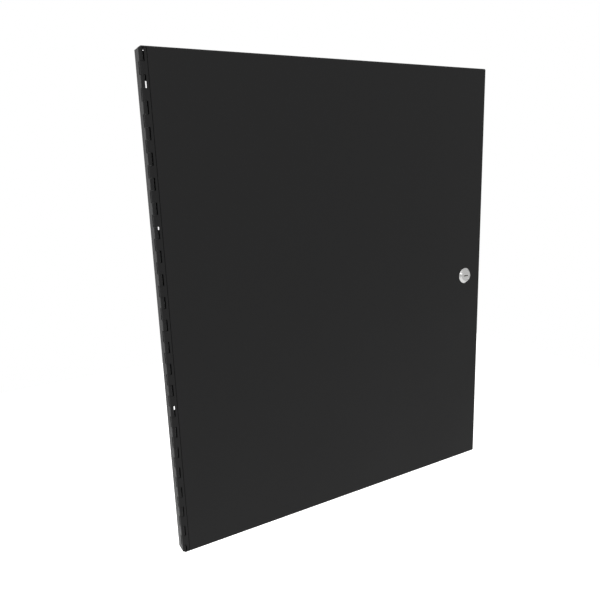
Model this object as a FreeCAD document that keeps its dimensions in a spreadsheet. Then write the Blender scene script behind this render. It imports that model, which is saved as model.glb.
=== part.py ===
"""Solid hinged door for a 19-inch equipment rack.

The frame is millimetres with +X across the door towards the lock, +Y into the rack and +Z up.
The origin is on the rack rail's face, in the middle of the column of four rack screws.
"""
import FreeCAD, Part
import math
import os

import Sketcher

document = FreeCAD.newDocument("rack_door")

# Driving dimensions of the door, its hinge and its lock

SIZES = {
    # Folded door sheet
    "door_height": 571.5,
    "door_reach": 479.4,
    "stand_off": 17.0,
    "pan_depth": 16.3,
    "sheet": 1.5,
    "bend_outer": 2.1,
    "corner_slit": 0.8,
    "ear_reach": 0.6,
    "ear_height": 1.6,
    # Continuous hinge
    "hinge_drop": 2.1,
    "hinge_pitch": 25.4,
    "knuckle_gap": 0.3,
    "knuckle_radius": 2.1,
    "leaf_sheet": 0.95,
    "pin_radius": 1.1,
    "pin_stake": 5.0,
    "notch_reach": 3.1,
    "seam_reach": 6.3,
    "seam_gap": 0.55,
    "seam_play": 0.1,
    "leaf_tail": 14.0,
    "leaf_trim": 0.7,
    # Flange of the hinge rail, drilled to the rack's hole column
    "rail_hole_inset": 8.75,
    "rail_hole_radius": 3.6,
    "inner_hole_spacing": 209.55,
    "outer_hole_spacing": 501.65,
    "flange_width": 15.9,
    "flange_bend": 1.5,
    # Cam lock, measured from the door's front face
    "lock_inset": 29.4,
    "head_radius": 11.1,
    "head_rim": 0.2,
    "head_bevel": 3.0,
    "head_rise": 2.3,
    "barrel_radius": 9.5,
    "barrel_flat": 8.0,
    "barrel_end": 18.3,
    "barrel_play": 0.1,
    "bore_radius": 6.3,
    "plug_play": 0.05,
    "plug_head_radius": 7.2,
    "plug_head_depth": 1.6,
    "plug_recess": 0.15,
    "key_width": 8.0,
    "key_slot": 1.4,
    "key_depth": 14.0,
    "wafer_start": 1.5,
    "wafer_pitch": 2.1,
    "wafer_sheet": 1.0,
    "wafer_radius": 6.15,
    "wafer_width": 4.4,
    "wafer_window": 8.4,
    "wafer_window_height": 1.8,
    "wafer_travel": 0.8,
    "wafer_play": 0.05,
    "groove_clear": 0.25,
    "plain_washer": 0.8,
    "washer_radius": 12.8,
    "mounting_nut": 4.5,
    "nut_corner": 13.8,
    "tail_square": 6.0,
    "stub_radius": 2.5,
    "stop_gap": 0.3,
    "stop_sheet": 1.0,
    "stop_radius": 9.0,
    "stop_root": 6.2,
    "stop_clear": 0.3,
    "cam_sheet": 2.0,
    "cam_hub": 8.5,
    "cam_reach": 27.0,
    "cam_tip": 5.5,
    "cam_washer": 1.2,
    "washer_split": 0.8,
    "cam_nut": 4.0,
    "cam_nut_corner": 4.6,
    "stub_proud": 0.6,
}

# Angles in degrees, then counts

CURL_TURN = 285
CURL_ROUND = 195
QUARTER_TURN = 90
STOP_LUG = 20
STOP_PLAY = 2
CURL_FLATS = 2
BORE_FLATS = 4
WAFERS = 5

sheet = document.addObject("Spreadsheet::Sheet", "Sizes")
for row, (name, value) in enumerate(SIZES.items(), start=1):
    sheet.set(f"A{row}", name)
    sheet.set(f"B{row}", str(value))
    sheet.setAlias(f"B{row}", name)
document.recompute()


class Length:
    """A size in millimetres together with the formula that gives it from the Sizes sheet."""

    def __init__(self, value, formula):
        self.value = value
        self.formula = formula

    def __add__(self, other):
        other = as_length(other)
        return Length(self.value + other.value, f"({self.formula} + {other.formula})")

    def __sub__(self, other):
        other = as_length(other)
        return Length(self.value - other.value, f"({self.formula} - {other.formula})")

    def __mul__(self, factor):
        return Length(self.value * factor, f"({self.formula} * {factor:.9f})")

    def __neg__(self):
        return Length(-self.value, f"(0 - {self.formula})")


def as_length(number):
    return number if isinstance(number, Length) else Length(number, f"{number:.9f}")


def size(name):
    return Length(float(sheet.get(name)), f"Sizes.{name}")


def bind(thing, **lengths):
    for name, length in lengths.items():
        thing.setExpression(name, as_length(length).formula)


def place(thing, x, y, z):
    for axis, length in zip("xyz", (x, y, z)):
        thing.setExpression(f"Placement.Base.{axis}", as_length(length).formula)


def new_body(label):
    body = document.addObject("PartDesign::Body", label)
    body.Label = label
    return body


def origin_feature(body, role):
    return next(item for item in body.Origin.OriginFeatures if item.Role == role)


class Arc:
    """A round stretch of an outline, from the corner before it to the corner after it."""

    def __init__(self, centre, radius, clockwise=False):
        self.centre = centre
        self.radius = as_length(radius)
        self.clockwise = clockwise


def outline(body, name, plane, corners, lift=None):
    """Sketch a closed outline. An Arc between two corners rounds the way from one to the next."""
    sketch = body.newObject("Sketcher::SketchObject", name)
    sketch.AttachmentSupport = [(origin_feature(body, plane), "")]
    sketch.MapMode = "FlatFace"
    if lift is not None:
        sketch.setExpression("AttachmentOffset.Base.z", lift.formula)
    points = []
    rounds = {}
    for corner in corners:
        if isinstance(corner, Arc):
            rounds[len(points) - 1] = corner
        else:
            points.append(tuple(as_length(part) for part in corner))
    ends = []
    for index, point in enumerate(points):
        following = points[(index + 1) % len(points)]
        here = FreeCAD.Vector(point[0].value, point[1].value, 0)
        there = FreeCAD.Vector(following[0].value, following[1].value, 0)
        arc = rounds.get(index)
        if arc is None:
            sketch.addGeometry(Part.LineSegment(here, there))
            ends.append((1, 2))
            continue
        middle = FreeCAD.Vector(as_length(arc.centre[0]).value, as_length(arc.centre[1]).value, 0)
        first, last = (there, here) if arc.clockwise else (here, there)
        start = math.atan2(first.y - middle.y, first.x - middle.x)
        stop = math.atan2(last.y - middle.y, last.x - middle.x)
        if stop <= start:
            stop += 2 * math.pi
        circle = Part.Circle(middle, FreeCAD.Vector(0, 0, 1), arc.radius.value)
        sketch.addGeometry(Part.ArcOfCircle(circle, start, stop))
        ends.append((2, 1) if arc.clockwise else (1, 2))
    for index, point in enumerate(points):
        following = (index + 1) % len(points)
        sketch.addConstraint(Sketcher.Constraint(
            "Coincident", index, ends[index][1], following, ends[following][0]))
        for axis, length in zip("XY", point):
            named = sketch.addConstraint(Sketcher.Constraint(
                f"Distance{axis}", -1, 1, index, ends[index][0], length.value))
            sketch.renameConstraint(named, f"corner_{axis}{index}")
            sketch.setExpression(f"Constraints.corner_{axis}{index}", length.formula)
        if index in rounds:
            radius = rounds[index].radius
            named = sketch.addConstraint(Sketcher.Constraint("Radius", index, radius.value))
            sketch.renameConstraint(named, f"radius_{index}")
            sketch.setExpression(f"Constraints.radius_{index}", radius.formula)
    return sketch


def pad(body, sketch, length):
    feature = body.newObject("PartDesign::Pad", "Pad")
    feature.Profile = sketch
    bind(feature, Length=length)
    return feature


def box(body, kind, low, extent):
    """A block from its low corner: kind is Additive or Subtractive."""
    feature = body.newObject(f"PartDesign::{kind}Box", f"{kind}Box")
    bind(feature, Length=extent[0], Width=extent[1], Height=extent[2])
    place(feature, *low)
    return feature


def cylinder(body, kind, radius, height, base, turn=None, angle=360):
    """A round bar or hole that rises from base, along the body's Z unless it is turned."""
    feature = body.newObject(f"PartDesign::{kind}Cylinder", f"{kind}Cylinder")
    feature.Angle = angle
    bind(feature, Radius=radius, Height=height)
    if turn is not None:
        feature.Placement = FreeCAD.Placement(FreeCAD.Vector(), turn)
    place(feature, *base)
    return feature


def row_downwards(body, original, count):
    """Repeat a cut down the hinge, one pitch apart."""
    pattern = body.newObject("PartDesign::LinearPattern", "LinearPattern")
    pattern.Originals = [original]
    pattern.Direction = (origin_feature(body, "Z_Axis"), [""])
    pattern.Reversed = True
    pattern.Mode = "Spacing"
    pattern.Occurrences = count
    bind(pattern, Offset=size("hinge_pitch"))
    body.Tip = pattern
    return pattern


# Places that several pieces share

outer_face_x = -size("rail_hole_inset")
right_x = outer_face_x + size("door_reach")
front_y = -size("stand_off")
back_of_sheet_y = front_y + size("sheet")
pin_x = outer_face_x + size("knuckle_radius")
pin_y = front_y + size("knuckle_radius")
seam_x = pin_x + size("seam_reach")
door_top_z = size("door_height") * 0.5
door_bottom_z = -door_top_z
hinge_top_z = door_top_z - size("hinge_drop")
hinge_bottom_z = -hinge_top_z
hinge_length = hinge_top_z * 2
lock_x = right_x - size("lock_inset")
lock_z = as_length(0)
bore_radius = size("knuckle_radius") - size("leaf_sheet")
half_pitch = size("hinge_pitch") * 0.5
notch_height = half_pitch + size("knuckle_gap")
half_gap = size("knuckle_gap") * 0.5
knuckle_count = math.ceil(hinge_length.value / size("hinge_pitch").value)
INTO_RACK = FreeCAD.Rotation(FreeCAD.Vector(1, 0, 0), -90)
OVERCUT = 1.0


def round_pin(radius, degrees):
    """The point at that distance and clock angle from the hinge pin."""
    turn = math.radians(degrees)
    return (pin_x + radius * math.cos(turn), pin_y + radius * math.sin(turn))


def curl_corners(wall, way):
    """Outside of a rolled knuckle's free end, behind the pin: two flats that close the round."""
    flat = (CURL_TURN - CURL_ROUND) / CURL_FLATS
    turns = [CURL_ROUND + flat * index for index in range(CURL_FLATS + 1)]
    return [round_pin(size("knuckle_radius"), wall + way * turn) for turn in turns]


def bore_corners(wall, way):
    """Bore of a rolled knuckle from its straight wall to its free end: flats that the pin hides."""
    half_flat = CURL_TURN / (2 * BORE_FLATS - 1)
    corner = bore_radius * (1 / math.cos(math.radians(half_flat)))
    return [round_pin(corner, wall + way * half_flat * (2 * flat + 1)) for flat in range(BORE_FLATS)]


def make_frame_leaf():
    """Hinge rail: knuckles rolled round the pin, a side wall and a flange against the rack rail."""
    body = new_body("frame_leaf")
    pin = (pin_x, pin_y)
    radius = size("knuckle_radius")
    bend = size("flange_bend")
    bend_centre = (outer_face_x + bend, -bend)
    flange_x = outer_face_x + size("flange_width")
    wall = 180
    profile = outline(body, "Section", "XY_Plane", [
        (flange_x, 0),
        (bend_centre[0], 0),
        Arc(bend_centre, bend),
        (outer_face_x, bend_centre[1]),
        (outer_face_x, pin_y),
        Arc(pin, radius),
        *curl_corners(wall, 1),
        *reversed(bore_corners(wall, 1)),
        (pin_x - bore_radius, bend_centre[1]),
        Arc(bend_centre, bend - size("leaf_sheet"), clockwise=True),
        (bend_centre[0], -size("leaf_sheet")),
        (flange_x, -size("leaf_sheet")),
    ], lift=hinge_bottom_z)
    pad(body, profile, hinge_length)
    notch = box(
        body, "Subtractive",
        (outer_face_x - OVERCUT, front_y - OVERCUT, hinge_top_z - size("hinge_pitch") - half_gap),
        (radius * 2 + OVERCUT * 2, radius + size("notch_reach") + OVERCUT, notch_height))
    row_downwards(body, notch, knuckle_count - 1)
    for spacing in ("inner_hole_spacing", "outer_hole_spacing"):
        for side in (0.5, -0.5):
            cylinder(body, "Subtractive", size("rail_hole_radius"), size("leaf_sheet") + OVERCUT * 2,
                     (0, -size("leaf_sheet") - OVERCUT, size(spacing) * side), turn=INTO_RACK)
    return body


def make_hinge_pin():
    """Wire pin, swelled by staking where its two ends sit in the rail's end knuckles."""
    body = new_body("hinge_pin")
    stake = size("pin_stake")
    cylinder(body, "Additive", size("pin_radius"), hinge_length, (pin_x, pin_y, hinge_bottom_z))
    for base in (hinge_bottom_z, hinge_top_z - stake):
        cylinder(body, "Additive", bore_radius, stake, (pin_x, pin_y, base))
    return body


def make_door_leaf():
    """Door half of the hinge: flush with the door's face, then joggled to lie behind the sheet.

    It is trimmed at its lower end, clear of the bottom fold.
    """
    body = new_body("door_leaf")
    pin = (pin_x, pin_y)
    radius = size("knuckle_radius")
    joggle_x = seam_x - size("seam_gap")
    joggle_run = size("seam_gap") - size("seam_play")
    joggle_angle = math.atan2(size("sheet").value, joggle_run.value)
    inner_shift = size("leaf_sheet") * math.tan(joggle_angle / 2)
    tail_x = seam_x + size("leaf_tail")
    inner_y = front_y + size("leaf_sheet")
    tail_inner_y = back_of_sheet_y + size("leaf_sheet")
    wall = 270
    profile = outline(body, "Section", "XY_Plane", [
        (tail_x, back_of_sheet_y),
        (joggle_x + joggle_run, back_of_sheet_y),
        (joggle_x, front_y),
        (pin_x, front_y),
        Arc(pin, radius, clockwise=True),
        *curl_corners(wall, -1),
        *reversed(bore_corners(wall, -1)),
        (joggle_x - inner_shift, inner_y),
        (joggle_x + joggle_run - inner_shift, tail_inner_y),
        (tail_x, tail_inner_y),
    ], lift=hinge_bottom_z + size("leaf_trim"))
    pad(body, profile, hinge_length - size("leaf_trim"))
    notch = box(
        body, "Subtractive",
        (outer_face_x - OVERCUT, front_y - OVERCUT, hinge_top_z - half_pitch - half_gap),
        (radius + size("notch_reach") + OVERCUT, radius * 2 + OVERCUT * 2, notch_height))
    row_downwards(body, notch, knuckle_count)
    return body


def edges_where(shape, test):
    return [f"Edge{index}" for index, edge in enumerate(shape.Edges, start=1) if test(edge.BoundBox)]


def faces_where(shape, test):
    return [f"Face{index}" for index, face in enumerate(shape.Faces, start=1) if test(face.BoundBox)]


def make_door_panel():
    """One sheet with its top, bottom and right edges folded back and its hinge side left open."""
    body = new_body("door_panel")
    ear_x = pin_x + size("ear_reach")
    back_y = front_y + size("pan_depth")
    blank = outline(body, "Blank", "XY_Plane", [
        (ear_x, front_y), (right_x, front_y), (right_x, back_y), (ear_x, back_y),
    ], lift=door_bottom_z)
    block = pad(body, blank, size("door_height"))
    document.recompute()
    near = 1e-4
    folds = edges_where(block.Shape, lambda b: abs(b.YMax - front_y.value) < near
                        and b.XMax > ear_x.value + near)
    corners = edges_where(block.Shape, lambda b: b.XMin > right_x.value - near
                          and b.YLength > near)
    bends = body.newObject("PartDesign::Fillet", "Bends")
    bends.Base = (block, folds + corners)
    bind(bends, Radius=size("bend_outer"))
    document.recompute()
    open_sides = faces_where(bends.Shape, lambda b: b.YMin > back_y.value - near
                             or b.XMax < ear_x.value + near)
    shell = body.newObject("PartDesign::Thickness", "Shell")
    shell.Base = (bends, open_sides)
    shell.Reversed = True
    shell.Join = "Intersection"
    bind(shell, Value=size("sheet"))
    # Step along the hinge side that the door leaf fills
    ear_z = door_bottom_z + size("ear_height")
    box(body, "Subtractive",
        (ear_x - OVERCUT, front_y - OVERCUT, ear_z),
        (seam_x - ear_x + OVERCUT, size("bend_outer") + OVERCUT * 2, -ear_z * 2))
    # Open corners where the right return meets the top and bottom ones
    slit_y = front_y + size("bend_outer")
    for slit_z in (door_bottom_z - OVERCUT, door_top_z - size("sheet")):
        box(body, "Subtractive",
            (right_x - size("sheet") - size("corner_slit"), slit_y, slit_z),
            (size("corner_slit"), size("pan_depth"), size("sheet") + OVERCUT))
    # Lock hole with two flats that keep the lock from turning
    hole = outline(body, "LockHole", "XZ_Plane", flatted_circle(lock_x, lock_z))
    cut = body.newObject("PartDesign::Pocket", "LockCut")
    cut.Profile = hole
    cut.Type = "ThroughAll"
    cut.SideType = "Symmetric"
    return body


def chord_half(radius, distance):
    """Half of the chord that lies at that distance from a circle's centre."""
    return Length(math.sqrt(radius.value ** 2 - distance.value ** 2),
                  f"sqrt({radius.formula} ^ 2 - {distance.formula} ^ 2)")


def flatted_circle(x, z):
    """Round outline with two side flats that the lock barrel drops into."""
    radius = size("barrel_radius") + size("barrel_play")
    flat = size("barrel_flat") + size("barrel_play")
    half = chord_half(radius, flat)
    return [
        (x + flat, z - half),
        (x + flat, z + half),
        Arc((x, z), radius),
        (x - flat, z + half),
        (x - flat, z - half),
        Arc((x, z), radius),
    ]


# Lock pieces are drawn along their own Z, from the door's front face into the rack


def lock_piece(label):
    body = new_body(label)
    body.Placement = FreeCAD.Placement(FreeCAD.Vector(), INTO_RACK)
    place(body, lock_x, front_y, lock_z)
    return body


def turned(body, corners):
    """Turn an outline of radius and depth about the lock's axis."""
    profile = outline(body, "Section", "XZ_Plane", corners)
    feature = body.newObject("PartDesign::Revolution", "Revolution")
    feature.Profile = profile
    feature.ReferenceAxis = (profile, ["V_Axis"])
    feature.Angle = 360
    return feature


head_face_z = -size("head_rim") - size("head_rise")
plug_seat_z = head_face_z + size("plug_head_depth")
stop_z = size("barrel_end") + size("stop_gap")
cam_z = stop_z + size("stop_sheet")
cam_washer_z = cam_z + size("cam_sheet")
cam_nut_z = cam_washer_z + size("cam_washer")
stub_end_z = cam_nut_z + size("cam_nut") + size("stub_proud")


def make_lock_body():
    """Lock housing: bevelled head, flatted barrel, bore for the plug and a stop lug at its end."""
    body = lock_piece("lock_body")
    barrel = size("barrel_radius")
    head = size("head_radius")
    seat = size("plug_head_radius") + size("plug_play")
    end = size("barrel_end")
    turned(body, [
        (size("bore_radius"), plug_seat_z),
        (seat, plug_seat_z),
        (seat, head_face_z),
        (head - size("head_bevel"), head_face_z),
        (head, -size("head_rim")),
        (head, 0),
        (barrel, 0),
        (barrel, end),
        (size("bore_radius"), end),
    ])
    for low_x in (size("barrel_flat"), -barrel - OVERCUT):
        box(body, "Subtractive", (low_x, -barrel - OVERCUT, 0),
            (barrel + OVERCUT - size("barrel_flat"), (barrel + OVERCUT) * 2, end + OVERCUT))
    # Grooves across the bore that the wafers spring into with the key out, locked or unlocked
    reach = size("wafer_radius") + size("wafer_travel") + size("groove_clear")
    half = size("wafer_width") * 0.5 + size("groove_clear")
    start = size("wafer_start") - size("groove_clear")
    length = size("wafer_pitch") * (WAFERS - 1) + size("wafer_sheet") + size("groove_clear") * 2
    box(body, "Subtractive", (-reach, -half, start), (reach * 2, half * 2, length))
    box(body, "Subtractive", (-half, -reach, start), (half * 2, reach * 2, length))
    lug_height = size("stop_gap") + size("stop_sheet") - size("stop_clear")
    stop_lug(body, "Additive", end, lug_height, STOP_LUG, 0)
    return body


def stop_lug(body, kind, base, height, angle, start):
    """A block on the stop's ring, as wide as the angle, that starts at a clock angle."""
    low = size("stop_root")
    high = size("stop_radius") + OVERCUT
    if kind == "Additive":
        low = low + size("stop_clear")
        high = size("barrel_flat") - size("stop_clear")
    turn = math.radians(start - angle / 2)
    end = math.radians(start + angle / 2)
    corners = [
        (low * math.cos(turn), low * math.sin(turn)),
        (high * math.cos(turn), high * math.sin(turn)),
        Arc((as_length(0), as_length(0)), high),
        (high * math.cos(end), high * math.sin(end)),
        (low * math.cos(end), low * math.sin(end)),
        Arc((as_length(0), as_length(0)), low, clockwise=True),
    ]
    profile = outline(body, "StopRing", "XY_Plane", corners, lift=base)
    if kind == "Additive":
        return pad(body, profile, height)
    cut = body.newObject("PartDesign::Pocket", "StopCut")
    cut.Profile = profile
    cut.Type = "ThroughAll"
    cut.SideType = "Symmetric"
    return cut


def make_lock_plug():
    """Key plug: round face with a keyway, barrel, square for the cam and a stub for its nut."""
    body = lock_piece("lock_plug")
    face_z = head_face_z + size("plug_recess")
    play = size("plug_play")
    head = size("plug_head_radius")
    plug = size("bore_radius") - play
    turned(body, [
        (0, face_z),
        (head, face_z),
        (head, plug_seat_z - play),
        (plug, plug_seat_z - play),
        (plug, size("barrel_end")),
        (size("stub_radius"), size("barrel_end")),
        (size("stub_radius"), stub_end_z),
        (0, stub_end_z),
    ])
    square = size("tail_square")
    box(body, "Additive", (square * -0.5, square * -0.5, size("barrel_end")),
        (square, square, cam_washer_z - size("barrel_end")))
    box(body, "Subtractive", (size("key_width") * -0.5, size("key_slot") * -0.5, face_z - OVERCUT),
        (size("key_width"), size("key_slot"), size("key_depth") + OVERCUT))
    slit = size("wafer_play")
    half = size("wafer_width") * 0.5 + slit
    for index in range(WAFERS):
        box(body, "Subtractive", (-plug - OVERCUT, -half, wafer_z(index) - slit),
            ((plug + OVERCUT) * 2, half * 2, size("wafer_sheet") + slit * 2))
    return body


def wafer_z(index):
    return size("wafer_start") + size("wafer_pitch") * index


def make_wafer(index):
    """Brass wafer across the plug: round ends, and a window that the key passes through."""
    body = lock_piece(f"wafer_{index + 1}")
    radius = size("wafer_radius")
    half = size("wafer_width") * 0.5
    end = chord_half(radius, half)
    centre = (as_length(0), as_length(0))
    plate = outline(body, "Plate", "XY_Plane", [
        (end, -half),
        Arc(centre, radius),
        (end, half),
        (-end, half),
        Arc(centre, radius),
        (-end, -half),
    ], lift=wafer_z(index))
    pad(body, plate, size("wafer_sheet"))
    window = size("wafer_window")
    height = size("wafer_window_height")
    box(body, "Subtractive", (window * -0.5, height * -0.5, wafer_z(index) - OVERCUT),
        (window, height, size("wafer_sheet") + OVERCUT * 2))
    return body


def square_hole(body, base, height):
    square = size("tail_square")
    box(body, "Subtractive", (square * -0.5, square * -0.5, base - OVERCUT),
        (square, square, height + OVERCUT * 2))


def make_stop_washer():
    """Washer on the plug's square: its cut-away lets the housing's lug pass a quarter turn."""
    body = lock_piece("stop_washer")
    cylinder(body, "Additive", size("stop_radius"), size("stop_sheet"), (0, 0, stop_z))
    sweep = QUARTER_TURN + STOP_LUG + STOP_PLAY
    stop_lug(body, "Subtractive", stop_z, size("stop_sheet"), sweep, QUARTER_TURN / 2)
    square_hole(body, stop_z, size("stop_sheet"))
    return body


def make_lock_cam():
    """Flat latch bar with a round hub and a narrower round tip, pointing at the rack rail."""
    body = lock_piece("lock_cam")
    hub = size("cam_hub")
    tip = size("cam_tip")
    tip_x = size("cam_reach") - tip
    taper = math.asin((hub - tip).value / tip_x.value)
    lean = math.sin(taper)
    rise = math.cos(taper)
    plate = outline(body, "Plate", "XY_Plane", [
        (hub * lean, hub * rise),
        Arc((as_length(0), as_length(0)), hub),
        (hub * lean, hub * -rise),
        (tip_x + tip * lean, tip * -rise),
        Arc((tip_x, as_length(0)), tip),
        (tip_x + tip * lean, tip * rise),
    ], lift=cam_z)
    pad(body, plate, size("cam_sheet"))
    square_hole(body, cam_z, size("cam_sheet"))
    return body


def make_ring(label, base, height, outer, inner):
    body = lock_piece(label)
    cylinder(body, "Additive", outer, height, (0, 0, base))
    cylinder(body, "Subtractive", inner, height + OVERCUT * 2, (0, 0, base - OVERCUT))
    return body


def make_hex_nut(label, base, height, corner, bore):
    """Hexagon nut with its bore."""
    body = lock_piece(label)
    points = []
    for index in range(6):
        angle = math.radians(60 * index)
        points.append((corner * math.cos(angle), corner * math.sin(angle)))
    pad(body, outline(body, "Hexagon", "XY_Plane", points, lift=base), height)
    cylinder(body, "Subtractive", bore, height + OVERCUT * 2, (0, 0, base - OVERCUT))
    return body


def make_spring_washer(label, base, height, outer, inner):
    """Ring split through on one side."""
    body = make_ring(label, base, height, outer, inner)
    split = size("washer_split")
    box(body, "Subtractive", (0, split * -0.5, base - OVERCUT),
        (outer + OVERCUT, split, height + OVERCUT * 2))
    return body


def make_lock_fixings():
    """Plain washer and nut behind the door, spring washer and nut behind the cam."""
    washer_z = size("sheet")
    nut_z = washer_z + size("plain_washer")
    stub = size("stub_radius")
    barrel = size("barrel_radius") + size("barrel_play")
    return [
        make_ring("lock_washer", washer_z, size("plain_washer"), size("washer_radius"), barrel),
        make_hex_nut("lock_nut", nut_z, size("mounting_nut"), size("nut_corner"), barrel),
        make_spring_washer("cam_washer", cam_washer_z, size("cam_washer"), size("cam_nut_corner"), stub),
        make_hex_nut("cam_nut", cam_nut_z, size("cam_nut"), size("cam_nut_corner"), stub),
    ]


pieces = [
    make_frame_leaf(),
    make_hinge_pin(),
    make_door_panel(),
    make_door_leaf(),
    make_lock_body(),
    make_lock_plug(),
    make_stop_washer(),
    make_lock_cam(),
]
pieces += [make_wafer(index) for index in range(WAFERS)]
pieces += make_lock_fixings()
document.recompute()

failed = [item.Name for item in document.Objects if {"Invalid", "Error"} & set(item.State)]
if failed:
    raise RuntimeError(f"failed features: {failed}")
for piece in pieces:
    if piece.Shape.isNull() or not piece.Shape.isValid():
        raise RuntimeError(f"bad solid: {piece.Label}")

os.makedirs("parts", exist_ok=True)
for piece in pieces:
    piece.Shape.exportStep(f"parts/{piece.Label}.step")
    print(piece.Label, round(piece.Shape.Volume, 1), "cubic millimetres")
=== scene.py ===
"""Solid rack door: folded black sheet on a continuous hinge, closed by a nickel-plated cam lock."""
import math

import bmesh
import bpy
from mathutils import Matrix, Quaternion, Vector


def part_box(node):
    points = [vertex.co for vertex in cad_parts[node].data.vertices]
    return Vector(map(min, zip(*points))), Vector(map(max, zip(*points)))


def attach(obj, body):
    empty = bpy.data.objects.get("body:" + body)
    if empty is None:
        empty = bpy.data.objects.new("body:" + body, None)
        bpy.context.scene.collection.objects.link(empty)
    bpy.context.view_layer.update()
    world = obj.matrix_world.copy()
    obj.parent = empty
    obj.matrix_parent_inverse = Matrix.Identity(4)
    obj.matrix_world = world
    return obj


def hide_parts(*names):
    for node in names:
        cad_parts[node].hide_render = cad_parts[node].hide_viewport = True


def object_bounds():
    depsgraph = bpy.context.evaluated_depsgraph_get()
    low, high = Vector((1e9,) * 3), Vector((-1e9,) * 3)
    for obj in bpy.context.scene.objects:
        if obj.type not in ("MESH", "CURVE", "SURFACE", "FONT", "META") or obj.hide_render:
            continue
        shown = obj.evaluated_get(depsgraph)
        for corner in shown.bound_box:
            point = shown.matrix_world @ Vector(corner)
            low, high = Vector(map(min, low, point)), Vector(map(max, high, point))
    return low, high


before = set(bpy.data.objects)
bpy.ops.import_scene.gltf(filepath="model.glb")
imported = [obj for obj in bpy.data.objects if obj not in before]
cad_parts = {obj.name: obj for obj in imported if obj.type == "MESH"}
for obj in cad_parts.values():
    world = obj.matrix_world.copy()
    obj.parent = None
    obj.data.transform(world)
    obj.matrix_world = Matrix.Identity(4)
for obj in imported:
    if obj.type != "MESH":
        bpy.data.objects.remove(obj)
cad_low, cad_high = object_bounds()


# Hinge rail and door half of the continuous hinge
# Steel strip rolled into knuckles round the pin, powder coated satin black together with the door.
# The rail is screwed to the rack; the door half is spot welded behind the door sheet.

def new_material(name):
    """An empty node material with its Principled shader and its object-space coordinates."""
    material = bpy.data.materials.new(name)
    material.use_nodes = True
    tree = material.node_tree
    shader = tree.nodes["Principled BSDF"]
    coordinates = tree.nodes.new("ShaderNodeTexCoord")
    return material, tree, shader, coordinates.outputs["Object"]


def dress(node_name, material):
    """Give a CAD node its finish in place of the plain packed one."""
    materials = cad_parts[node_name].data.materials
    materials.clear()
    materials.append(material)


def shade_evenly(piece, keep_creases=False):
    """Let the large faces of a piece set its shading, so that flats look flat beside small rounds."""
    even_shading = piece.modifiers.new("even_shading", "WEIGHTED_NORMAL")
    even_shading.weight = 90
    even_shading.keep_sharp = keep_creases


def round_edges(node_name, radius):
    """Break a node's cut edges with a small round, as tumbling and plating or coating leave them."""
    same_corner = 1e-6
    same_flat = math.radians(0.5)
    cut_edge = math.radians(40)
    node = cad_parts[node_name]
    joined = node.modifiers.new("joined_corners", "WELD")
    joined.merge_threshold = same_corner
    flat = node.modifiers.new("whole_flats", "DECIMATE")
    flat.decimate_type = "DISSOLVE"
    flat.angle_limit = same_flat
    rounded = node.modifiers.new("rounded_edges", "BEVEL")
    rounded.width = radius
    rounded.segments = 2
    rounded.limit_method = "ANGLE"
    rounded.angle_limit = cut_edge
    shade_evenly(node)


def new_group(name, inputs, outputs):
    """A node group with named sockets, and the ends of those sockets inside it."""
    group = bpy.data.node_groups.new(name, "ShaderNodeTree")
    for in_out, sockets in (("INPUT", inputs), ("OUTPUT", outputs)):
        for socket_name, kind in sockets.items():
            group.interface.new_socket(socket_name, in_out=in_out, socket_type=f"NodeSocket{kind}")
    given = group.nodes.new("NodeGroupInput").outputs
    result = group.nodes.new("NodeGroupOutput").inputs
    return group, given, result


def place_group(tree, group, vector, values):
    """Place a shared effect in a material with that material's own values, and give its outputs."""
    placed = tree.nodes.new("ShaderNodeGroup")
    placed.node_tree = group
    for socket_name, value in values.items():
        placed.inputs[socket_name].default_value = value
    tree.links.new(vector, placed.inputs["Vector"])
    return placed.outputs


def noise(tree, vector, per_metre, detail):
    """A noise texture on the piece, with its features counted per metre."""
    texture = tree.nodes.new("ShaderNodeTexNoise")
    texture.inputs["Scale"].default_value = per_metre
    texture.inputs["Detail"].default_value = detail
    tree.links.new(vector, texture.inputs["Vector"])
    return texture.outputs["Fac"]


def spread(tree, value, low, high):
    """Map a noise value, which stays near one half, onto a range."""
    usual_low = 0.3
    usual_high = 0.7
    remap = tree.nodes.new("ShaderNodeMapRange")
    remap.inputs["From Min"].default_value = usual_low
    remap.inputs["From Max"].default_value = usual_high
    remap.inputs["To Min"].default_value = low
    remap.inputs["To Max"].default_value = high
    tree.links.new(value, remap.inputs["Value"])
    return remap.outputs["Result"]


def blend(tree, share, low, high, kind="FLOAT"):
    """Go from a low value or colour to a high one, by a share from 0 to 1."""
    mix = tree.nodes.new("ShaderNodeMix")
    mix.data_type = kind
    tree.links.new(share, mix.inputs["Factor"])
    tree.links.new(low, mix.inputs["A"])
    tree.links.new(high, mix.inputs["B"])
    return mix.outputs["Result"]


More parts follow.
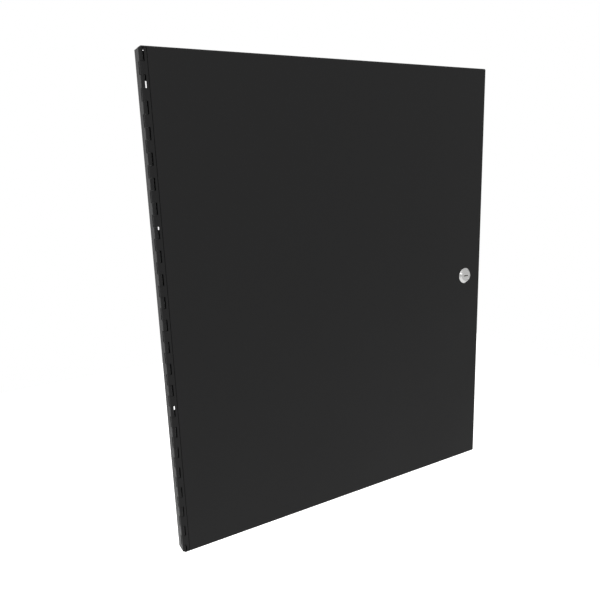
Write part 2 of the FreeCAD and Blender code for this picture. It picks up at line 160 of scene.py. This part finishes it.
def powder_coat_group():
    """Fine orange peel of a baked powder coat: its height, its gloss and its slight tone changes."""
    peel_per_metre = 620
    grain_per_metre = 2600
    cloud_per_metre = 9
    grain_share = 0.35
    group, given, result = new_group(
        "powder_coat_skin",
        inputs={"Vector": "Vector", "Dark Tone": "Color", "Light Tone": "Color",
                "Glossy Roughness": "Float", "Matt Roughness": "Float"},
        outputs={"Tone": "Color", "Roughness": "Float", "Peel": "Float"})
    peel = noise(group, given["Vector"], peel_per_metre, detail=2)
    grain = noise(group, given["Vector"], grain_per_metre, detail=3)
    cloud = noise(group, given["Vector"], cloud_per_metre, detail=4)
    height = group.nodes.new("ShaderNodeMix")
    height.inputs["Factor"].default_value = grain_share
    group.links.new(peel, height.inputs["A"])
    group.links.new(grain, height.inputs["B"])
    gloss = blend(group, spread(group, cloud, low=0, high=1),
                  given["Glossy Roughness"], given["Matt Roughness"])
    tone = blend(group, spread(group, grain, low=0, high=1),
                 given["Dark Tone"], given["Light Tone"], kind="RGBA")
    group.links.new(tone, result["Tone"])
    group.links.new(gloss, result["Roughness"])
    group.links.new(height.outputs["Result"], result["Peel"])
    return group


def black_powder_coat(name, peel_depth, glossy, matt):
    """Satin black powder coat; the large sheet is flatter and a little more matt than the strip."""
    dark_black = (0.0168, 0.0168, 0.0170, 1)
    light_black = (0.0221, 0.0221, 0.0223, 1)
    material, tree, shader, vector = new_material(name)
    skin = place_group(tree, powder_skin, vector, {
        "Dark Tone": dark_black,
        "Light Tone": light_black,
        "Glossy Roughness": glossy,
        "Matt Roughness": matt,
    })
    bump = tree.nodes.new("ShaderNodeBump")
    bump.inputs["Strength"].default_value = 0.35
    bump.inputs["Distance"].default_value = peel_depth
    shader.inputs["Specular IOR Level"].default_value = 0.15
    tree.links.new(skin["Tone"], shader.inputs["Base Color"])
    tree.links.new(skin["Roughness"], shader.inputs["Roughness"])
    tree.links.new(skin["Peel"], bump.inputs["Height"])
    tree.links.new(bump.outputs["Normal"], shader.inputs["Normal"])
    return material


powder_skin = powder_coat_group()
hinge_coat = black_powder_coat("black_coat_hinge", peel_depth=0.00008, glossy=0.42, matt=0.48)
leaf_edge_radius = 0.00012
for leaf in ("frame_leaf", "door_leaf"):
    dress(leaf, hinge_coat)
    round_edges(leaf, leaf_edge_radius)


# Hinge pin
# Drawn steel wire through all the knuckles, left bare and held by its staked ends.

def metal_grain_group():
    """Streaks or clouds in bare and plated metal, which change its tone and its gloss.

    A stretch below one along an axis draws the clouds out into streaks along that axis.
    """
    noise_middle = 0.5
    group, given, result = new_group(
        "metal_grain",
        inputs={"Vector": "Vector", "Stretch": "Vector", "Per Metre": "Float", "Detail": "Float",
                "Breakup": "Float", "Tone Contrast": "Float", "Dark Tone": "Color",
                "Light Tone": "Color", "Glossy Roughness": "Float", "Matt Roughness": "Float"},
        outputs={"Tone": "Color", "Roughness": "Float"})
    streaks = group.nodes.new("ShaderNodeVectorMath")
    streaks.operation = "MULTIPLY"
    grain = group.nodes.new("ShaderNodeTexNoise")
    centred = group.nodes.new("ShaderNodeMath")
    centred.operation = "SUBTRACT"
    centred.inputs[1].default_value = noise_middle
    tone_share = group.nodes.new("ShaderNodeMath")
    tone_share.operation = "MULTIPLY_ADD"
    tone_share.use_clamp = True
    tone_share.inputs[2].default_value = noise_middle
    group.links.new(given["Vector"], streaks.inputs[0])
    group.links.new(given["Stretch"], streaks.inputs[1])
    group.links.new(streaks.outputs["Vector"], grain.inputs["Vector"])
    group.links.new(given["Per Metre"], grain.inputs["Scale"])
    group.links.new(given["Detail"], grain.inputs["Detail"])
    group.links.new(given["Breakup"], grain.inputs["Roughness"])
    group.links.new(grain.outputs["Fac"], centred.inputs[0])
    group.links.new(centred.outputs["Value"], tone_share.inputs[0])
    group.links.new(given["Tone Contrast"], tone_share.inputs[1])
    tone = blend(group, tone_share.outputs["Value"],
                 given["Dark Tone"], given["Light Tone"], kind="RGBA")
    gloss = blend(group, spread(group, grain.outputs["Fac"], low=0, high=1),
                  given["Glossy Roughness"], given["Matt Roughness"])
    group.links.new(tone, result["Tone"])
    group.links.new(gloss, result["Roughness"])
    return group


def drawn_steel():
    """Bare wire with fine draw marks along its length, its tones kept dark as painted shade for the
    gaps between the knuckles.
    """
    marks_per_metre = 6000
    along_the_wire = (1, 1, 0.02)
    # Both tones sit well below bare steel's: painted shade, so the pin shows dark in the narrow gaps
    # between the knuckles.
    shaded_dark_steel = (0.17, 0.17, 0.165, 1)
    shaded_light_steel = (0.26, 0.26, 0.255, 1)
    material, tree, shader, vector = new_material("drawn_pin_steel")
    marks = place_group(tree, metal_grain, vector, {
        "Stretch": along_the_wire,
        "Per Metre": marks_per_metre,
        "Detail": 2,
        "Breakup": 0.5,
        "Tone Contrast": 3.33,
        "Dark Tone": shaded_dark_steel,
        "Light Tone": shaded_light_steel,
        "Glossy Roughness": 0.28,
        "Matt Roughness": 0.42,
    })
    tree.links.new(marks["Tone"], shader.inputs["Base Color"])
    tree.links.new(marks["Roughness"], shader.inputs["Roughness"])
    shader.inputs["Metallic"].default_value = 1
    return material


metal_grain = metal_grain_group()
dress("hinge_pin", drawn_steel())


# Door sheet
# One steel sheet with three edges folded back, powder coated satin black inside and out.
# It hangs on the door half of the hinge, which lies flush with its face.

dress("door_panel", black_powder_coat("black_coat_door", peel_depth=0.00005, glossy=0.50, matt=0.56))


# Spot welds
# Electrode prints on the back of the hinge's door half, which is welded to the sheet through them.
# Each is a shallow ring pressed up in the strip, coated over with the rest of the door.

def closed_skin(rings, hollow):
    """Corners and faces over rings of points; a hollow skin joins its ends, others are capped."""
    count = len(rings[0])
    corners = [point for ring in rings for point in ring]
    faces = []
    for row in range(len(rings) if hollow else len(rings) - 1):
        here = row * count
        there = (row + 1) % len(rings) * count
        for column in range(count):
            beside = (column + 1) % count
            faces.append((here + column, here + beside, there + beside, there + column))
    if not hollow:
        last = len(corners) - count
        faces.append(tuple(range(count)))
        faces.append(tuple(range(last, last + count)))
    return corners, faces


def new_piece(name, skins, material, body):
    """One piece made of closed skins, smooth over its curves, riding on a body."""
    merge_distance = 1e-7
    crease = math.radians(28)
    corners = []
    faces = []
    for skin_corners, skin_faces in skins:
        faces += [tuple(len(corners) + index for index in face) for face in skin_faces]
        corners += skin_corners
    mesh = bpy.data.meshes.new(name)
    mesh.from_pydata(corners, [], faces)
    form = bmesh.new()
    form.from_mesh(mesh)
    bmesh.ops.remove_doubles(form, verts=form.verts, dist=merge_distance)
    bmesh.ops.recalc_face_normals(form, faces=form.faces)
    form.to_mesh(mesh)
    form.free()
    mesh.polygons.foreach_set("use_smooth", [True] * len(mesh.polygons))
    mesh.set_sharp_from_angle(angle=crease)
    mesh.materials.append(material)
    piece = bpy.data.objects.new(name, mesh)
    bpy.context.scene.collection.objects.link(piece)
    shade_evenly(piece, keep_creases=True)
    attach(piece, body)
    return piece


def weld_print(centre):
    """A pressed-up ring round a shallow dish, sunk a little into the strip behind it."""
    ring_steps = 28
    profile = [(0.0032, -0.0001), (0.0032, 0.0), (0.0029, 0.00009), (0.0024, 0.00014),
               (0.0020, 0.00006), (0.0012, 0.00003), (0.0004, 0.00002)]
    rings = []
    for radius, height in profile:
        ring = []
        for step in range(ring_steps):
            turn = 2 * math.pi * step / ring_steps
            ring.append(centre + Vector((radius * math.cos(turn), height, radius * math.sin(turn))))
        rings.append(ring)
    return closed_skin(rings, hollow=False)


sheet_thickness = 0.0015
leaf_thickness = 0.00095
weld_count = 12
weld_edge_distance = 0.0055
weld_end_distance = 0.022
leaf_low, leaf_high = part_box("door_leaf")
weld_x = leaf_high.x - weld_edge_distance
weld_y = leaf_low.y + sheet_thickness + leaf_thickness
weld_pitch = (leaf_high.z - leaf_low.z - 2 * weld_end_distance) / (weld_count - 1)
weld_prints = []
for index in range(weld_count):
    weld_z = leaf_low.z + weld_end_distance + weld_pitch * index
    weld_prints.append(weld_print(Vector((weld_x, weld_y, weld_z))))
new_piece("spot_welds", weld_prints, hinge_coat, "door")


# Lock housing and key plug
# Cast zinc lock with a bevelled head and a level keyway, turned and nickel plated to a satin shine.
# The housing's threaded barrel drops into the flatted hole in the door; the plug turns in it.

lock_low, lock_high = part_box("lock_body")
lock_x = (lock_low.x + lock_high.x) / 2
lock_z = (lock_low.z + lock_high.z) / 2
door_front_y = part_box("door_panel")[0].y
head_radius = (lock_high.x - lock_low.x) / 2
head_face = lock_low.y - door_front_y
lug_end = lock_high.y - door_front_y


def satin_nickel():
    """Nickel plate with fine turning rings about the lock's axis and a faint warm and cool mottle."""
    mottle_per_metre = 900
    rings_per_metre = 7000
    ring_depth = 0.00001
    warm_nickel = (0.72, 0.715, 0.705, 1)
    cool_nickel = (0.79, 0.79, 0.785, 1)
    material, tree, shader, vector = new_material("satin_nickel")
    mottle = place_group(tree, metal_grain, vector, {
        "Stretch": (1, 1, 1),
        "Per Metre": mottle_per_metre,
        "Detail": 4,
        "Breakup": 0.5,
        "Tone Contrast": 2.5,
        "Dark Tone": warm_nickel,
        "Light Tone": cool_nickel,
    })
    centred = tree.nodes.new("ShaderNodeVectorMath")
    centred.operation = "SUBTRACT"
    centred.inputs[1].default_value = (lock_x, 0, lock_z)
    flattened = tree.nodes.new("ShaderNodeVectorMath")
    flattened.operation = "MULTIPLY"
    flattened.inputs[1].default_value = (1, 0, 1)
    distance = tree.nodes.new("ShaderNodeVectorMath")
    distance.operation = "LENGTH"
    rings = tree.nodes.new("ShaderNodeTexNoise")
    rings.noise_dimensions = "1D"
    rings.inputs["Scale"].default_value = rings_per_metre
    rings.inputs["Detail"].default_value = 2
    tree.links.new(vector, centred.inputs[0])
    tree.links.new(centred.outputs["Vector"], flattened.inputs[0])
    tree.links.new(flattened.outputs["Vector"], distance.inputs[0])
    tree.links.new(distance.outputs["Value"], rings.inputs["W"])
    bump = tree.nodes.new("ShaderNodeBump")
    bump.inputs["Strength"].default_value = 0.15
    bump.inputs["Distance"].default_value = ring_depth
    tree.links.new(mottle["Tone"], shader.inputs["Base Color"])
    tree.links.new(spread(tree, rings.outputs["Fac"], low=0.16, high=0.26), shader.inputs["Roughness"])
    tree.links.new(rings.outputs["Fac"], bump.inputs["Height"])
    tree.links.new(bump.outputs["Normal"], shader.inputs["Normal"])
    shader.inputs["Metallic"].default_value = 1
    return material


turn_steps = 96


def lock_ring(radius, depth, flat=None):
    """A ring about the lock's axis at a depth behind the door's face, cut by two side flats.

    The radius and the depth are numbers, or functions of the turn about the axis.
    """
    ring = []
    for step in range(turn_steps):
        turn = 2 * math.pi * step / turn_steps
        reach = radius(turn) if callable(radius) else radius
        along = depth(turn) if callable(depth) else depth
        across = reach * math.cos(turn)
        if flat is not None:
            across = max(-flat, min(flat, across))
        ring.append((lock_x + across, door_front_y + along, lock_z + reach * math.sin(turn)))
    return ring


barrel_radius = 0.0095
barrel_flat = 0.0080
barrel_end = 0.0183
bore_radius = 0.0063
thread_start = 0.0023
thread_pitch = 0.0010
thread_depth = 0.00052
thread_flat_share = 0.125
thread_rows = 8
groove_reach = 0.0072
groove_start = 0.00125
groove_end = 0.01115
groove_half_angle = math.radians(19)


def thread_radius(depth):
    """Radius of the barrel's V thread at a depth, as a function of the turn."""
    def radius(turn):
        phase = (depth / thread_pitch - turn / (2 * math.pi)) % 1
        flank = abs(2 * phase - 1) * (1 + 2 * thread_flat_share) - thread_flat_share
        crest = min(max(flank, 0), 1)
        return barrel_radius - thread_depth * (1 - crest)
    return radius


def grooved_bore(turn):
    """Bore with a groove on each of its four sides for the wafers to spring into."""
    quarter = math.pi / 2
    off_side = abs((turn + quarter / 2) % quarter - quarter / 2)
    if off_side < groove_half_angle:
        return groove_reach / math.cos(off_side)
    return bore_radius


def lock_housing():
    """Skin of the housing, from its bore over the bevelled head and down the threaded barrel."""
    seat_radius = 0.00725
    seat_sink = 0.0016
    bevel_width = 0.0030
    rim_height = 0.0002
    edge = 0.00012
    edge_fall = edge * 0.9
    end_chamfer = 0.0006
    seat_depth = head_face + seat_sink
    face_radius = head_radius - bevel_width
    rings = [
        lock_ring(bore_radius, seat_depth),
        lock_ring(seat_radius, seat_depth),
        lock_ring(seat_radius, head_face + edge),
        lock_ring(seat_radius + edge, head_face),
        lock_ring(face_radius - edge, head_face),
        lock_ring(face_radius + edge, head_face + edge_fall),
        lock_ring(head_radius - edge, -rim_height - edge_fall),
        lock_ring(head_radius, -rim_height + edge),
        lock_ring(head_radius, 0),
        lock_ring(barrel_radius, 0, barrel_flat),
        lock_ring(barrel_radius, thread_start, barrel_flat),
    ]
    count = round((barrel_end - end_chamfer - thread_start) / thread_pitch * thread_rows)
    for row in range(1, count + 1):
        depth = thread_start + thread_pitch / thread_rows * row
        rings.append(lock_ring(thread_radius(depth), depth, barrel_flat))
    rings += [
        lock_ring(barrel_radius - end_chamfer, barrel_end, barrel_flat),
        lock_ring(bore_radius, barrel_end),
        lock_ring(bore_radius, groove_end),
        lock_ring(grooved_bore, groove_end),
        lock_ring(grooved_bore, groove_start),
        lock_ring(bore_radius, groove_start),
    ]
    return closed_skin(rings, hollow=True)


def stop_lug():
    """Skin of the lug on the barrel's end that stops the plug after a quarter turn."""
    inner = 0.0065
    outer = 0.0077
    sunk = 0.0001
    half_angle = math.radians(10)
    steps = 8
    rings = []
    for step in range(steps + 1):
        turn = half_angle * (2 * step / steps - 1)
        ring = []
        for radius, depth in ((inner, barrel_end - sunk), (outer, barrel_end - sunk),
                              (outer, lug_end), (inner, lug_end)):
            ring.append((lock_x + radius * math.cos(turn), door_front_y + depth,
                         lock_z + radius * math.sin(turn)))
        rings.append(ring)
    return closed_skin(rings, hollow=False)


nickel = satin_nickel()
plug_edge_radius = 0.0001
dress("lock_body", nickel)
dress("lock_plug", nickel)
round_edges("lock_plug", plug_edge_radius)
housing_skins = [lock_housing(), stop_lug()]
housing = new_piece("threaded_lock_housing", housing_skins, nickel, "door")
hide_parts("lock_body")


# Wafers of the lock
# Five flat tumblers stamped from brass, stacked along the plug and moved by the key's cuts.

def stamped_brass():
    """Brass strip with fine rolling lines and slightly darker patches."""
    lines_per_metre = 9000
    patches_per_metre = 700
    along_the_strip = (0.05, 1, 1)
    dark_brass = (0.62, 0.45, 0.19, 1)
    light_brass = (0.76, 0.59, 0.28, 1)
    material, tree, shader, vector = new_material("stamped_brass")
    lines = place_group(tree, metal_grain, vector, {
        "Stretch": along_the_strip,
        "Per Metre": lines_per_metre,
        "Detail": 2,
        "Breakup": 0.5,
        "Glossy Roughness": 0.25,
        "Matt Roughness": 0.4,
    })
    patches = place_group(tree, metal_grain, vector, {
        "Stretch": (1, 1, 1),
        "Per Metre": patches_per_metre,
        "Detail": 3,
        "Breakup": 0.5,
        "Tone Contrast": 2.5,
        "Dark Tone": dark_brass,
        "Light Tone": light_brass,
    })
    tree.links.new(patches["Tone"], shader.inputs["Base Color"])
    tree.links.new(lines["Roughness"], shader.inputs["Roughness"])
    shader.inputs["Metallic"].default_value = 1
    return material


brass = stamped_brass()
wafer_edge_radius = 0.00004
for node_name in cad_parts:
    if node_name.startswith("wafer_"):
        dress(node_name, brass)
        round_edges(node_name, wafer_edge_radius)


# Lock fixings and cam
# Pressed and cut steel, bright zinc plated: washer and nut behind the sheet, stop washer,
# latch cam, split washer and nut on the plug's square tail.

def bright_zinc():
    """Zinc plate with a cool tint and cloudy patches."""
    clouds_per_metre = 420
    dark_zinc = (0.46, 0.47, 0.49, 1)
    light_zinc = (0.62, 0.63, 0.64, 1)
    material, tree, shader, vector = new_material("bright_zinc_plate")
    clouds = place_group(tree, metal_grain, vector, {
        "Stretch": (1, 1, 1),
        "Per Metre": clouds_per_metre,
        "Detail": 5,
        "Breakup": 0.6,
        "Tone Contrast": 2.78,
        "Dark Tone": dark_zinc,
        "Light Tone": light_zinc,
        "Glossy Roughness": 0.24,
        "Matt Roughness": 0.4,
    })
    tree.links.new(clouds["Tone"], shader.inputs["Base Color"])
    tree.links.new(clouds["Roughness"], shader.inputs["Roughness"])
    shader.inputs["Metallic"].default_value = 1
    return material


def chamfered_nut(node_name, bore, lead_in):
    """Skin of a hexagon nut in its node's place, with its corners turned off and its bore led in."""
    face_share = 0.96
    slope = math.tan(math.radians(30))
    low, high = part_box(node_name)
    front = low.y - door_front_y
    back = high.y - door_front_y
    corner = (high.x - low.x) / 2
    sixth = math.pi / 3
    half_across = corner * math.cos(sixth / 2)
    face_radius = half_across * face_share

    def hexagon(turn):
        return half_across / math.cos(turn % sixth - sixth / 2)

    def front_edge(turn):
        return front + (hexagon(turn) - face_radius) * slope

    def back_edge(turn):
        return back - (hexagon(turn) - face_radius) * slope

    return closed_skin([
        lock_ring(bore, front + lead_in),
        lock_ring(bore + lead_in, front),
        lock_ring(face_radius, front),
        lock_ring(hexagon, front_edge),
        lock_ring(hexagon, back_edge),
        lock_ring(face_radius, back),
        lock_ring(bore + lead_in, back),
        lock_ring(bore, back - lead_in),
    ], hollow=True)


zinc = bright_zinc()
washer_edge_radius = 0.0001
cam_edge_radius = 0.0002
for fixing in ("lock_washer", "lock_nut", "stop_washer", "lock_cam", "cam_washer", "cam_nut"):
    dress(fixing, zinc)
for washer in ("lock_washer", "stop_washer", "cam_washer"):
    round_edges(washer, washer_edge_radius)
round_edges("lock_cam", cam_edge_radius)
mounting_nut_skin = chamfered_nut("lock_nut", bore=0.0096, lead_in=0.0005)
mounting_nut = new_piece("chamfered_lock_nut", [mounting_nut_skin], zinc, "door")
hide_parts("lock_nut")
cam_nut_skin = chamfered_nut("cam_nut", bore=0.0025, lead_in=0.0003)
cam_nut = new_piece("chamfered_cam_nut", [cam_nut_skin], zinc, "key_plug")
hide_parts("cam_nut")


# Studio
# A white backdrop all round, a pale floor well below the hanging door and soft lamps,
# one of them turned down on to the floor behind the hinge.

def studio_world():
    """White to the eye, bright in reflections from behind on the hinge side, dimmer elsewhere."""
    bright_side = (-0.45, 0.89, 0)
    dim_level = 0.6
    white_level = 1.0
    world = bpy.data.worlds.new("white_studio")
    world.use_nodes = True
    tree = world.node_tree
    background = tree.nodes["Background"]
    direction = tree.nodes.new("ShaderNodeTexCoord")
    facing = tree.nodes.new("ShaderNodeVectorMath")
    facing.operation = "DOT_PRODUCT"
    facing.inputs[1].default_value = bright_side
    shade = tree.nodes.new("ShaderNodeMapRange")
    shade.inputs["From Min"].default_value = 0.1
    shade.inputs["From Max"].default_value = 0.95
    shade.inputs["To Min"].default_value = dim_level
    shade.inputs["To Max"].default_value = white_level
    path = tree.nodes.new("ShaderNodeLightPath")
    seen = tree.nodes.new("ShaderNodeMix")
    seen.inputs["B"].default_value = white_level
    background.inputs["Color"].default_value = (1, 1, 1, 1)
    tree.links.new(direction.outputs["Generated"], facing.inputs[0])
    tree.links.new(facing.outputs["Value"], shade.inputs["Value"])
    tree.links.new(path.outputs["Is Camera Ray"], seen.inputs["Factor"])
    tree.links.new(shade.outputs["Result"], seen.inputs["A"])
    tree.links.new(seen.outputs["Result"], background.inputs["Strength"])
    bpy.context.scene.world = world


def pale_floor(height, half_width):
    """A plain floor that reads as white paper and still takes the door's shadow."""
    paper = (0.9, 0.9, 0.9, 1)
    glow_to_camera = 0.8
    glow_in_mirrors = 0.22
    mesh = bpy.data.meshes.new("studio_floor")
    corners = [(-half_width, -half_width, height), (half_width, -half_width, height),
               (half_width, half_width, height), (-half_width, half_width, height)]
    mesh.from_pydata(corners, [], [(0, 1, 2, 3)])
    floor = bpy.data.objects.new("studio_floor", mesh)
    bpy.context.scene.collection.objects.link(floor)
    material = bpy.data.materials.new("white_paper")
    material.use_nodes = True
    tree = material.node_tree
    shader = tree.nodes["Principled BSDF"]
    shader.inputs["Base Color"].default_value = paper
    shader.inputs["Roughness"].default_value = 0.9
    shader.inputs["Emission Color"].default_value = (1, 1, 1, 1)
    path = tree.nodes.new("ShaderNodeLightPath")
    mirrored = tree.nodes.new("ShaderNodeMath")
    mirrored.operation = "MULTIPLY"
    mirrored.inputs[1].default_value = glow_in_mirrors
    glow = tree.nodes.new("ShaderNodeMath")
    glow.operation = "MULTIPLY_ADD"
    glow.inputs[1].default_value = glow_to_camera
    tree.links.new(path.outputs["Is Glossy Ray"], mirrored.inputs[0])
    tree.links.new(path.outputs["Is Camera Ray"], glow.inputs[0])
    tree.links.new(mirrored.outputs["Value"], glow.inputs[2])
    tree.links.new(glow.outputs["Value"], shader.inputs["Emission Strength"])
    mesh.materials.append(material)


def soft_lamp(name, place, aim, size, power):
    """A square softbox that points from its place at its aim."""
    lamp = bpy.data.lights.new(name, "AREA")
    lamp.shape = "SQUARE"
    lamp.size = size
    lamp.energy = power
    holder = bpy.data.objects.new(name, lamp)
    holder.location = place
    holder.rotation_mode = "QUATERNION"
    holder.rotation_quaternion = (Vector(aim) - Vector(place)).to_track_quat("-Z", "Y")
    bpy.context.scene.collection.objects.link(holder)


floor_drop = 0.6
door_middle = (cad_low + cad_high) / 2
behind_hinge = (-0.45, 0.801, -0.9)
studio_world()
pale_floor(cad_low.z - floor_drop, half_width=2.5)
soft_lamp("key_softbox", place=(-0.62, -1.85, 0.78), aim=door_middle, size=0.5, power=1.6)
soft_lamp("overhead_softbox", place=(-0.9, -1.5, 2.8), aim=door_middle, size=2.4, power=20)
soft_lamp("floor_softbox", place=(-0.45, 0.8, -0.25), aim=behind_hinge, size=0.8, power=5.4)


# Camera
# Stands a little left of the hinge and above the middle, turned to its right and tilted slightly.

camera_place = Vector((-0.180311, -0.631797, 0.162162))
camera_aim = Vector((0.164040, -0.0170, 0.002687))
camera_roll = math.radians(-2.0218)
camera_data = bpy.data.cameras.new("camera")
camera_data.sensor_width = 36
camera_data.lens = 35.1223
camera_data.clip_start = 0.01
camera = bpy.data.objects.new("camera", camera_data)
camera.location = camera_place
camera.rotation_mode = "QUATERNION"
camera.rotation_quaternion = ((camera_aim - camera_place).to_track_quat("-Z", "Y")
                              @ Quaternion((0, 0, 1), camera_roll))
bpy.context.scene.collection.objects.link(camera)
bpy.context.scene.camera = camera
bpy.context.scene.view_settings.view_transform = "Standard"
